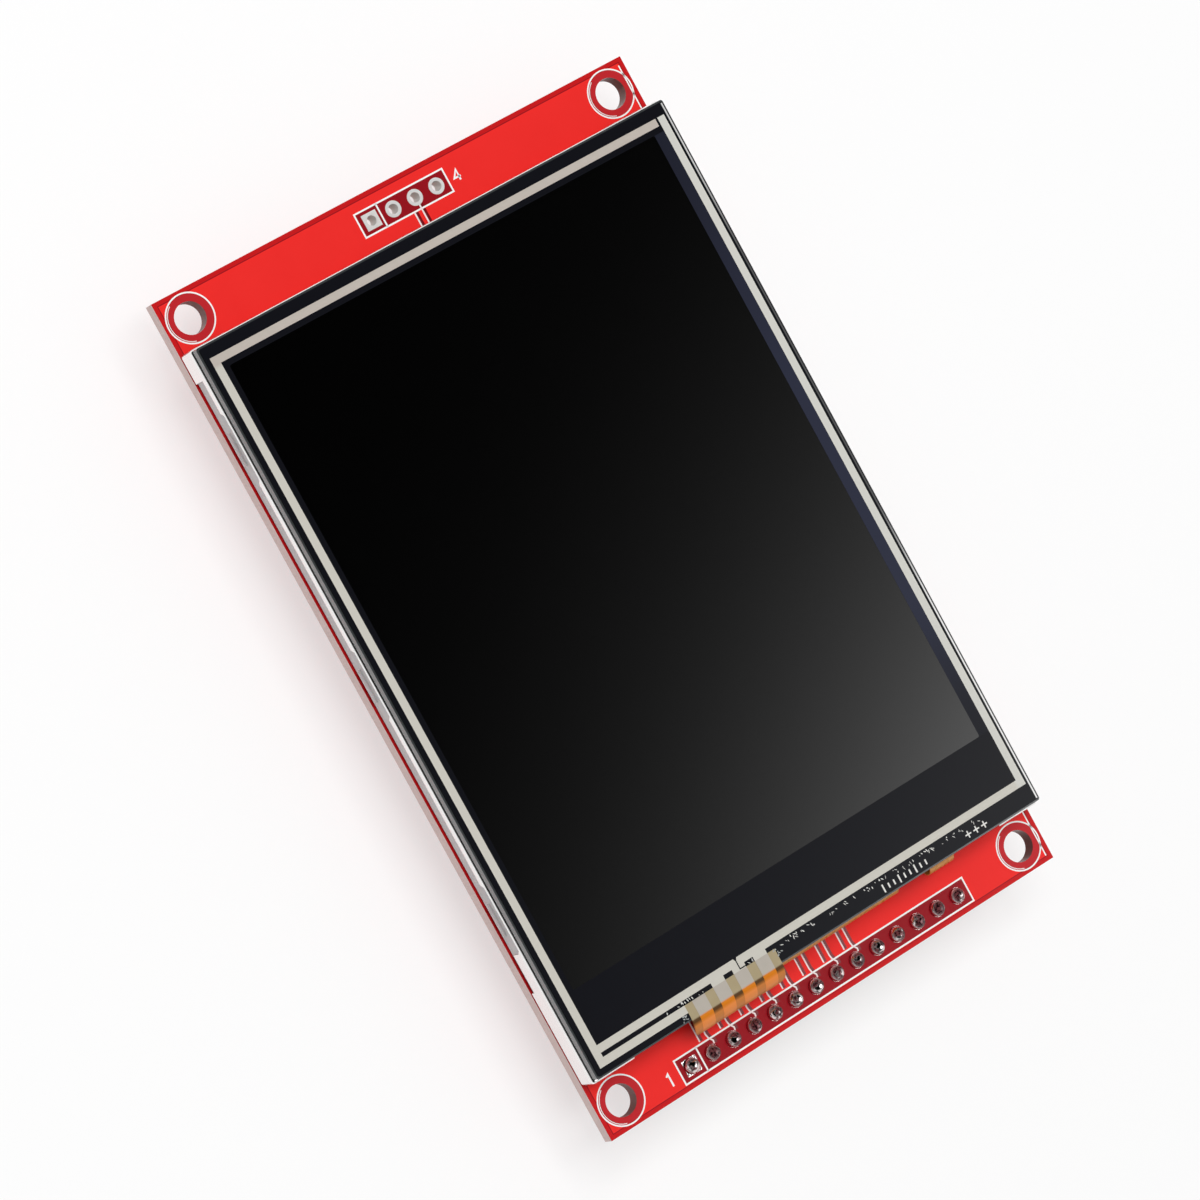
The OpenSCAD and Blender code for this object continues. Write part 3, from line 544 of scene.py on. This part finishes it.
# Strokes of the plain digits on a grid 4 wide and 6 high
DIGITS = {
    "0": [[(0, 1), (0, 5), (1, 6), (3, 6), (4, 5), (4, 1), (3, 0), (1, 0), (0, 1)]],
    "1": [[(1, 5), (2.2, 6), (2.2, 0)]],
    "2": [[(0, 5), (1, 6), (3, 6), (4, 5), (4, 4), (0, 0), (4, 0)]],
    "3": [[(0, 6), (4, 6), (2, 3.6), (3, 3.6), (4, 2.6), (4, 1), (3, 0), (1, 0), (0, 1)]],
    "4": [[(3, 0), (3, 6), (0, 2), (4, 2)]],
    "5": [[(4, 6), (0, 6), (0, 3.4), (3, 3.4), (4, 2.4), (4, 1), (3, 0), (0, 0)]],
    "6": [[(3.6, 6), (1, 6), (0, 5), (0, 1), (1, 0), (3, 0), (4, 1), (4, 2.4), (3, 3.4), (0, 3.4)]],
    "7": [[(0, 6), (4, 6), (1.4, 0)]],
    "8": [[(1, 3.2), (0, 4.2), (0, 5), (1, 6), (3, 6), (4, 5), (4, 4.2), (3, 3.2), (1, 3.2), (0, 2.2),
           (0, 1), (1, 0), (3, 0), (4, 1), (4, 2.2), (3, 3.2)]],
    "9": [[(0.4, 0), (3, 0), (4, 1), (4, 5), (3, 6), (1, 6), (0, 5), (0, 3.6), (1, 2.6), (4, 2.6)]],
}


def number(bm, text, x, y, height, width, low, high, mirrored=False):
    """Writes a plain number centred on (x, y); mirrored for the board's back."""
    unit = height / 6
    total = len(text) * 5 * unit - unit
    flip = -1 if mirrored else 1
    for place, digit in enumerate(text):
        for path in DIGITS[digit]:
            points = [((place * 5 + px) * unit - total / 2, (py - 3) * unit) for px, py in path]
            stroke(bm, [(x + flip * px, y + py) for px, py in points], width, low, high)


bm = bmesh.new()
hole_rings(bm, board_top, ink_top)
for ((x, y), (half_x, half_y)), divider in ((header_box, pin_xs[0] + 0.5 * pitch),
                                            (spare_box, spare_xs[0] + 0.46 * pitch)):
    frame_line(bm, x, y, half_x, half_y, board_top, ink_top)
    prism(bm, rectangle(divider, y, line_w / 2, half_y), board_top, ink_top)
number(bm, "1", pin_xs[0] - 2.6 * MM, header_y - 0.1 * MM, 1.3 * MM, digit_w, board_top, ink_top)
number(bm, "4", spare_xs[3] + 2.4 * MM, spare_y, 1.1 * MM, digit_w, board_top, ink_top)

# A thin line near the right edge, at both ends of the panel
side_line_x = half_w - 0.62 * MM
side_line_half_w = 0.07 * MM
bezel_low, bezel_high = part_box("steel_bezel")
for low_y, high_y in ((-half_l + 0.55 * MM, bezel_low.y), (bezel_high.y, half_l - 0.75 * MM)):
    prism(bm, rectangle(side_line_x, (low_y + high_y) / 2, side_line_half_w, (high_y - low_y) / 2),
          board_top, ink_top)
printing = mesh_piece("white_printing", bm)
ink_finish = Finish("white_ink", (0.94, 0.94, 0.93), (0.89, 0.88, 0.87), 0.5, scale=2500, bump=0.2)
printing.data.materials.append(ink_finish.material)


# ---- Copper tracks ----
# Tracks and the edges of the copper pour stand up a little under the mask, and their near white colour is a
# painted highlight where they catch the light; beside each one the bare laminate shows as a dark gap.

track_t = 0.035 * MM
gap_t = 0.006 * MM
track_bm = bmesh.new()
gap_bm = bmesh.new()


def track(path, width=0.15, gap_width=0.30):
    """A raised track with a dark gap along its right side, given in millimetres."""
    points = [(x * MM, y * MM) for x, y in path]
    stroke(track_bm, points, width * MM, board_top, board_top + track_t)
    shift = (width + gap_width) / 2 * MM
    stroke(gap_bm, [(x + shift, y) for x, y in points], gap_width * MM, board_top, board_top + gap_t)


# Beside each of eight pads one track hooks round the pad and one runs straight, both to
# the panel. Their points are set off from the pad's middle along the row
hooked = ((0.62, -42.05), (0.66, -41.75), (0.34, -41.30), (0.25, -40.9), (0.25, -38.4))
straight = ((-0.62, -41.2), (-0.62, -38.4))
for x in pin_xs[1:9]:
    track([(x / MM + aside, y) for aside, y in hooked])
    track([(x / MM + aside, y) for aside, y in straight], width=0.14)
# Painted highlight: a pale arc on the -x side of each mounting hole's ring stands in for the glint on the
# edge of the copper pour
glint_arc_r = 2.24
glint_arc_angles = [math.radians(a) for a in range(125, 256, 10)]
for x, y in holes:
    track([(x / MM + glint_arc_r * math.cos(a), y / MM + glint_arc_r * math.sin(a)) for a in glint_arc_angles],
          width=0.08, gap_width=0.05)
third_spare = spare_xs[2] / MM
for aside, end_y in ((-0.78, 40.6), (0.07, 41.1)):
    track([(third_spare + aside, end_y), (third_spare + aside, 39.0)], width=0.16)

tracks = mesh_piece("copper_tracks", track_bm)
track_gaps = mesh_piece("track_gaps", gap_bm)
# Painted highlight: the tracks are near white, standing in for their glint
track_glint_finish = Finish("painted_glint_over_tracks", (0.92, 0.86, 0.85), (0.88, 0.70, 0.69), 0.3,
                      Coat_Weight=0.4, Coat_Roughness=0.1)
gap_finish = Finish("masked_laminate", (0.20, 0.003, 0.008), (0.15, 0.002, 0.006), 0.2,
                    Coat_Weight=0.3, Coat_Roughness=0.1)
tracks.data.materials.append(track_glint_finish.material)
track_gaps.data.materials.append(gap_finish.material)


# ---- Pads, pin header and solder ----
# Tin over copper pads, a black moulded strip on the back with square gold flashed
# pins pressed through it, and a domed solder bead over each pin on the front.

tin = Finish("tinned_copper", (0.84, 0.84, 0.83), (0.70, 0.69, 0.67), 0.42, metallic=0.3, scale=1600,
             bump=0.1)
dress(tin, "spare_pads", "spare_chip_pads")

# The crown of each bead is painted dark red brown in patches and made less metallic there, a painted
# reflection of the red board and the dark ceiling
solder = Finish("bright_solder", (0.84, 0.78, 0.77), (0.60, 0.50, 0.49), 0.10, metallic=1.0, bump=0.9)
crown_reflection_dark = (0.018, 0.004, 0.006)
crown_reflection_pale = (0.17, 0.052, 0.058)
crown_reflection_dulling = 0.8
tree = solder.tree
crown = solder.along("Z", board_top + 0.32 * MM, board_top + 0.60 * MM)
painted_reflection_patches = math_node(tree, "MULTIPLY", crown, ramp(tree, solder.noise(1100), 0.57, 0.51))
crown_reflection_color = blend_color(tree, ramp(tree, solder.noise(5200), 0.42, 0.58), crown_reflection_dark, crown_reflection_pale)
solder.cover(painted_reflection_patches, crown_reflection_color)
bare_metal = math_node(tree, "SUBTRACT", 1.0, math_node(tree, "MULTIPLY", painted_reflection_patches, crown_reflection_dulling))
tree.links.new(bare_metal, solder.shader.inputs["Metallic"])
dress(solder, "header_pads", "header_solder", "panel_flex_joints")

strip_plastic = Finish("black_moulding", (0.014, 0.014, 0.015), (0.024, 0.024, 0.026), 0.45, scale=1200,
                       bump=0.25)
dress(strip_plastic, "header_strip")
gold = Finish("gold_flash", (0.86, 0.64, 0.27), (0.74, 0.52, 0.20), 0.22, metallic=1.0, scale=1400,
              stretch=(1, 1, 0.2), bump=0.08)
wetted = math_node(gold.tree, "GREATER_THAN", axis_of(gold.tree, gold.place, "Z"), board_top)
gold.cover(wetted, (0.78, 0.77, 0.76))
dress(gold, "header_pins", "socket_contacts", "socket_detect_switch")


# ---- Foam tape and backlight ----
# A white foam tape holds the panel to the board. The backlight is a pale moulded
# frame with a clear light guide, films over it and a row of lamps at the header end.

foam = Finish("white_foam", (0.80, 0.80, 0.78), (0.70, 0.70, 0.67), 0.85, scale=3000, bump=0.6)
dress(foam, "mounting_tape")
frame_plastic = Finish("pale_moulding", (0.61, 0.58, 0.58), (0.52, 0.49, 0.49), 0.5, scale=500, bump=0.15,
                       Subsurface_Weight=0.1, Subsurface_Scale=0.5 * MM)
dress(frame_plastic, "backlight_frame")
mirror_film = Finish("silvered_film", (0.88, 0.88, 0.88), (0.82, 0.82, 0.82), 0.18, metallic=1.0, scale=600)
dress(mirror_film, "reflector_sheet")
guide_plastic = Finish("clear_guide", (0.86, 0.90, 0.90), (0.80, 0.85, 0.86), 0.15, scale=600)
dress(guide_plastic, "light_guide")
frosted = Finish("frosted_film", (0.82, 0.83, 0.84), (0.76, 0.77, 0.78), 0.6, scale=4000, bump=0.3)
dress(frosted, "diffuser_sheet")
ribbed = Finish("prism_film", (0.70, 0.75, 0.78), (0.60, 0.66, 0.70), 0.3, scale=6000, stretch=(0.05, 1, 1),
                bump=0.5)
dress(ribbed, "lower_prism_sheet", "upper_prism_sheet")
lamp_resin = Finish("lamp_resin", (0.82, 0.76, 0.42), (0.74, 0.66, 0.34), 0.35)
dress(lamp_resin, "backlight_leds")
black_tape = Finish("black_tape", (0.016, 0.016, 0.018), (0.028, 0.028, 0.030), 0.65, scale=2500, bump=0.3)
dress(black_tape, "rim_tape", "bezel_gasket", "touch_tape", "touch_spacer")


# ---- Liquid crystal cell ----
# Two glasses with a dark polarizer on each outer face, and the driver chip on the
# ledge of the rear glass.

cell = Finish("cell_glass", (0.34, 0.38, 0.40), (0.28, 0.32, 0.34), 0.12, scale=500, Coat_Weight=0.4)
dress(cell, "rear_glass", "front_glass")
polarizer = Finish("polarizer", (0.008, 0.008, 0.010), (0.014, 0.014, 0.016), 0.35, scale=1500)
dress(polarizer, "rear_polarizer", "front_polarizer")
silicon = Finish("driver_silicon", (0.10, 0.10, 0.12), (0.07, 0.07, 0.09), 0.15, metallic=0.3)
dress(silicon, "driver_chip")


# ---- Panel's flexible circuit ----
# Amber polyimide film, folded round the end of the backlight to the board, with
# rows of soldered joints there.

film_amber = Finish("amber_film", (0.74, 0.31, 0.045), (0.62, 0.24, 0.032), 0.28, scale=500, bump=0.15,
                    Coat_Weight=0.3, Coat_Roughness=0.12)
dress(film_amber, "panel_flex", "led_strip")


# ---- Steel bezel ----
# Bright tin plated sheet steel, pressed into a shallow frame: rolled lightly along
# its length, with fine scuffs.

steel = Finish("bright_steel", (0.95, 0.94, 0.93), (0.84, 0.83, 0.82), 0.24, spread=0.14, metallic=1.0,
               stretch=(1, 0.06, 1), bump=0.12)
dress(steel, "steel_bezel")


# ---- Touch screen ----
# Glass with ground edges under a film with a satin hard coat. The film's border is
# printed blue black, with bars and fingers of screen printed silver.

film_low, film_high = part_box("touch_film")
film_top = film_high.z
glass_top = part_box("touch_glass")[1].z
window_centre = Vector((-0.3, 3.12)) * MM
window_half = Vector((49.8, 66.2)) / 2 * MM
window_right = window_centre.x + window_half.x
window_near = window_centre.y - window_half.y
window_far = window_centre.y + window_half.y
side_bar_x = 25.8 * MM

# Painted highlight: the upper corner of the glass's edge is painted pale at the far end, where it glints
ground_glass = Finish("ground_glass", (0.060, 0.066, 0.068), (0.034, 0.038, 0.040), 0.16, scale=1800,
                      bump=0.25, Coat_Weight=0.5, Coat_Roughness=0.05)
corner = ground_glass.along("Z", glass_top - 0.16 * MM, glass_top - 0.05 * MM)
far_end = math_node(ground_glass.tree, "GREATER_THAN",
                    axis_of(ground_glass.tree, ground_glass.normal, "Y"), 0.5)
ground_glass.cover(math_node(ground_glass.tree, "MULTIPLY", corner, far_end), (0.80, 0.76, 0.70))
dress(ground_glass, "touch_glass")

screen = Finish("satin_screen", (0.0004, 0.0004, 0.0004), (0.0007, 0.0007, 0.0007), 0.08, spread=0.01,
                scale=300, bump=0.003)
dress(screen, "touch_film")

# A bluish strip lies between the window and the right bar. The film's right margin is painted near white, a
# painted highlight for light shining through it, most at both ends
border = Finish("border_print", (0.0060, 0.0063, 0.0088), (0.0070, 0.0073, 0.0100), 0.10, spread=0.02,
                scale=700, bump=0.01, Specular_IOR_Level=0.10)
tree = border.tree
bluish = zone(border, box_group, ((window_right + side_bar_x) / 2, window_centre.y),
              ((side_bar_x - window_right) / 2, window_half.y))
for fade in (border.along("Y", window_near, window_near + 16 * MM, 0.1, 1.0, eased=True),
             border.along("Y", window_far - 30 * MM, window_far, 1.0, 0.45, eased=True)):
    bluish = math_node(tree, "MULTIPLY", bluish, fade)
border.cover(bluish, (0.026, 0.029, 0.050))
margin = zone(border, box_group, (film_high.x - 0.16 * MM, (film_low.y + film_high.y) / 2),
              (0.10 * MM, (film_high.y - film_low.y) / 2 - 0.1 * MM))
near_light = border.along("Y", window_near + 12 * MM, window_near + 26 * MM, 1.0, 0.10, eased=True)
far_light = border.along("Y", window_far - 14 * MM, window_far - 2 * MM, 0.10, 0.7, eased=True)
margin_painted_light = math_node(tree, "MULTIPLY", margin, math_node(tree, "MAXIMUM", near_light, far_light))
border.cover(margin_painted_light, (0.84, 0.84, 0.83))
dress(border, "border_ink")

# The silver is brownish at the far end, paler below it and palest along the right side
silver = Finish("silver_print", (0.52, 0.465, 0.42), (0.47, 0.42, 0.37), 0.42, spread=0.08, scale=1500,
                bump=0.25)
silver.cover(silver.along("Y", 36.8 * MM, 36.4 * MM), (0.57, 0.55, 0.49))
silver.cover(silver.along("X", side_bar_x - 0.3 * MM, side_bar_x), (0.61, 0.605, 0.56))
dress(silver, "silver_conductors")


# ---- Marks on the screen's ledge ----
# Printed with the conductors along the header's end: plain ticks and crosses that line up the film, ragged
# flecks of silver, and beads of clear glue where the tail starts, painted pale as a painted highlight of
# their glints.

mark_top = film_top + 0.012 * MM
ledge_y = -37.5 * MM
tick_total = 9
tick_start = 7.8 * MM
tick_pitch = 0.66 * MM
tick_half_w = 0.085 * MM
cross_half_l = 0.36 * MM
cross_half_w = 0.07 * MM
cross_arm = (cross_half_l - cross_half_w) / 2

bm = bmesh.new()
for i in range(tick_total):
    tick_half_l = (0.42 if i % 3 == 0 else 0.26) * MM
    prism(bm, rectangle(tick_start + i * tick_pitch, ledge_y - 0.05 * MM, tick_half_w, tick_half_l),
          film_top, mark_top)
for x in (18.5 * MM, 19.5 * MM, 20.5 * MM):
    prism(bm, rectangle(x, ledge_y, cross_half_l, cross_half_w), film_top, mark_top)
    for side in (-1, 1):
        prism(bm, rectangle(x, ledge_y + side * (cross_half_w + cross_arm), cross_half_w, cross_arm),
              film_top, mark_top)
chance = random.Random(11)


def fleck(bm, x, y, length, width, lean):
    """A ragged four or five sided speck."""
    count = chance.choice((4, 5))
    outline = []
    for i in range(count):
        turn = 2 * math.pi * (i + chance.uniform(-0.25, 0.25)) / count
        along = length / 2 * math.cos(turn)
        across = width / 2 * math.sin(turn)
        outline.append((x + along * math.cos(lean) - across * math.sin(lean),
                        y + along * math.sin(lean) + across * math.cos(lean)))
    prism(bm, outline, film_top, mark_top)


# Strips of flecks in millimetres: both ends in x, both ends in y and how many
for x0, x1, y0, y1, count in ((-4.4, 15.5, -36.95, -36.55, 52),
                              (15.5, 20.8, -37.05, -36.60, 14),
                              (-18.4, -13.2, -36.70, -36.45, 10),
                              (-8.4, -7.8, -36.75, -36.50, 3)):
    for _ in range(count):
        fleck(bm, chance.uniform(x0, x1) * MM, chance.uniform(y0, y1) * MM, chance.uniform(0.10, 0.48) * MM,
              chance.uniform(0.05, 0.13) * MM, math.radians(chance.uniform(70, 160)))
marks = mesh_piece("ledge_marks", bm)
fleck_finish = Finish("silver_flecks", (0.84, 0.83, 0.80), (0.60, 0.59, 0.56), 0.35, scale=2500, bump=0.2)
marks.data.materials.append(fleck_finish.material)

# Painted highlight: beads of clear glue, painted pale grey for their glints
bm = bmesh.new()
bead_reach = 0.3
for x, y, count in ((-16.75, -37.95, 6), (-5.0, -37.30, 5), (-5.25, -36.95, 3)):
    for _ in range(count):
        fleck(bm, (x + chance.uniform(-bead_reach, bead_reach)) * MM,
              (y + chance.uniform(-bead_reach, bead_reach)) * MM,
              chance.uniform(0.15, 0.40) * MM, chance.uniform(0.08, 0.18) * MM, chance.uniform(0, math.pi))
glue = mesh_piece("tail_glue", bm)
glue_glint_finish = Finish("clear_glue_painted_glint", (0.60, 0.62, 0.60), (0.16, 0.18, 0.18), 0.08, spread=0.05, scale=2600,
                     bump=0.4, Coat_Weight=1.0)
glue.data.materials.append(glue_glint_finish.material)


# ---- Touch screen's tail ----
# Amber film with four copper lanes between its layers, bonded to the screen's edge
# with clear adhesive and folded down over the panel's end to the board.

bond_edge = -38.42 * MM
bond_blur = 0.08 * MM


def light_tail(finish, past_edge, bend_painted_reflection):
    """Paints other colours beyond the screen's edge, standing in for light that falls through the film, and a
    painted reflection on the lower bend, where the film has turned down and shines pale."""
    finish.cover(finish.along("Y", bond_edge + bond_blur, bond_edge - bond_blur), past_edge)
    finish.cover(finish.along("Z", film_top - 0.10 * MM, film_top - 0.26 * MM), bend_painted_reflection)


tail_film = Finish("tail_film", (0.36, 0.29, 0.17), (0.41, 0.34, 0.21), 0.3, scale=700, bump=0.2,
                   Specular_IOR_Level=0.12)
light_tail(tail_film, (0.090, 0.038, 0.008), (0.60, 0.21, 0.050))
dress(tail_film, "touch_tail")
lane_copper = Finish("lane_copper", (0.48, 0.44, 0.39), (0.43, 0.39, 0.34), 0.3, bump=0.1,
                     Specular_IOR_Level=0.12)
light_tail(lane_copper, (0.68, 0.20, 0.010), (0.84, 0.27, 0.065))
dress(lane_copper, "touch_tail_lanes")


# ---- Card socket ----
# A black moulded base under a bright pressed steel shell, soldered to the board's
# back; gold plated springs stand in its slots.

socket_plastic = Finish("socket_moulding", (0.016, 0.016, 0.017), (0.028, 0.028, 0.030), 0.5, scale=1000,
                        bump=0.25)
dress(socket_plastic, "socket_base")
shell_steel = Finish("socket_steel", (0.76, 0.76, 0.74), (0.62, 0.62, 0.60), 0.28, spread=0.14,
                     metallic=1.0, scale=1000, stretch=(0.06, 1, 1), bump=0.15)
dress(shell_steel, "socket_shell")


# ---- Chips and small parts ----
# Moulded resin chips on tin plated legs, glazed resistors and fired capacitors with
# tinned ends, all soldered to the board's back.

resin = Finish("chip_resin", (0.018, 0.018, 0.020), (0.032, 0.032, 0.034), 0.55, scale=3500, bump=0.4)
dress(resin, "touch_controller", "voltage_regulator", "backlight_transistor")
plated = Finish("plated_legs", (0.76, 0.76, 0.74), (0.64, 0.64, 0.62), 0.3, metallic=1.0, scale=1800,
                bump=0.15)
dress(plated, "touch_controller_leads", "regulator_leads", "transistor_leads", "resistor_caps",
      "capacitor_caps")
glaze = Finish("resistor_glaze", (0.012, 0.012, 0.014), (0.022, 0.022, 0.025), 0.3, scale=2500, bump=0.1)
dress(glaze, "resistor_bodies")
ceramic = Finish("fired_ceramic", (0.36, 0.22, 0.12), (0.28, 0.17, 0.09), 0.5, scale=2500, bump=0.2)
dress(ceramic, "capacitor_bodies")


# ---- Printing on the back ----
# White ink on the back face: a number by each header pin and by each spare hole, and
# outlines round both rows, the card socket and the chips.

back_number_h = 1.1 * MM
back_number_w = 0.16 * MM
board_margin = 0.3 * MM

bm = bmesh.new()
for xs, y in ((pin_xs, header_y + 2.5 * MM), (spare_xs, spare_y - 2.1 * MM)):
    for i, x in enumerate(xs):
        number(bm, str(i + 1), x, y, back_number_h, back_number_w, -ink_t, 0, mirrored=True)
frame_line(bm, header_x, header_y, header_box[1][0], 1.45 * MM, -ink_t, 0)
frame_line(bm, spare_x, spare_y, spare_box[1][0], 1.3 * MM, -ink_t, 0)
for name, gap in (("socket_base", 0.9 * MM), ("touch_controller", 0.5 * MM), ("voltage_regulator", 0.5 * MM)):
    low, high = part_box(name)
    middle = (low + high) / 2
    half = (high - low) / 2
    frame_line(bm, middle.x, middle.y, min(half.x + gap, half_w - board_margin - middle.x), half.y + gap,
               -ink_t, 0)
hole_rings(bm, -ink_t, 0)
back_printing = mesh_piece("back_printing", bm)
back_printing.data.materials.append(ink_finish.material)


low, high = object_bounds()
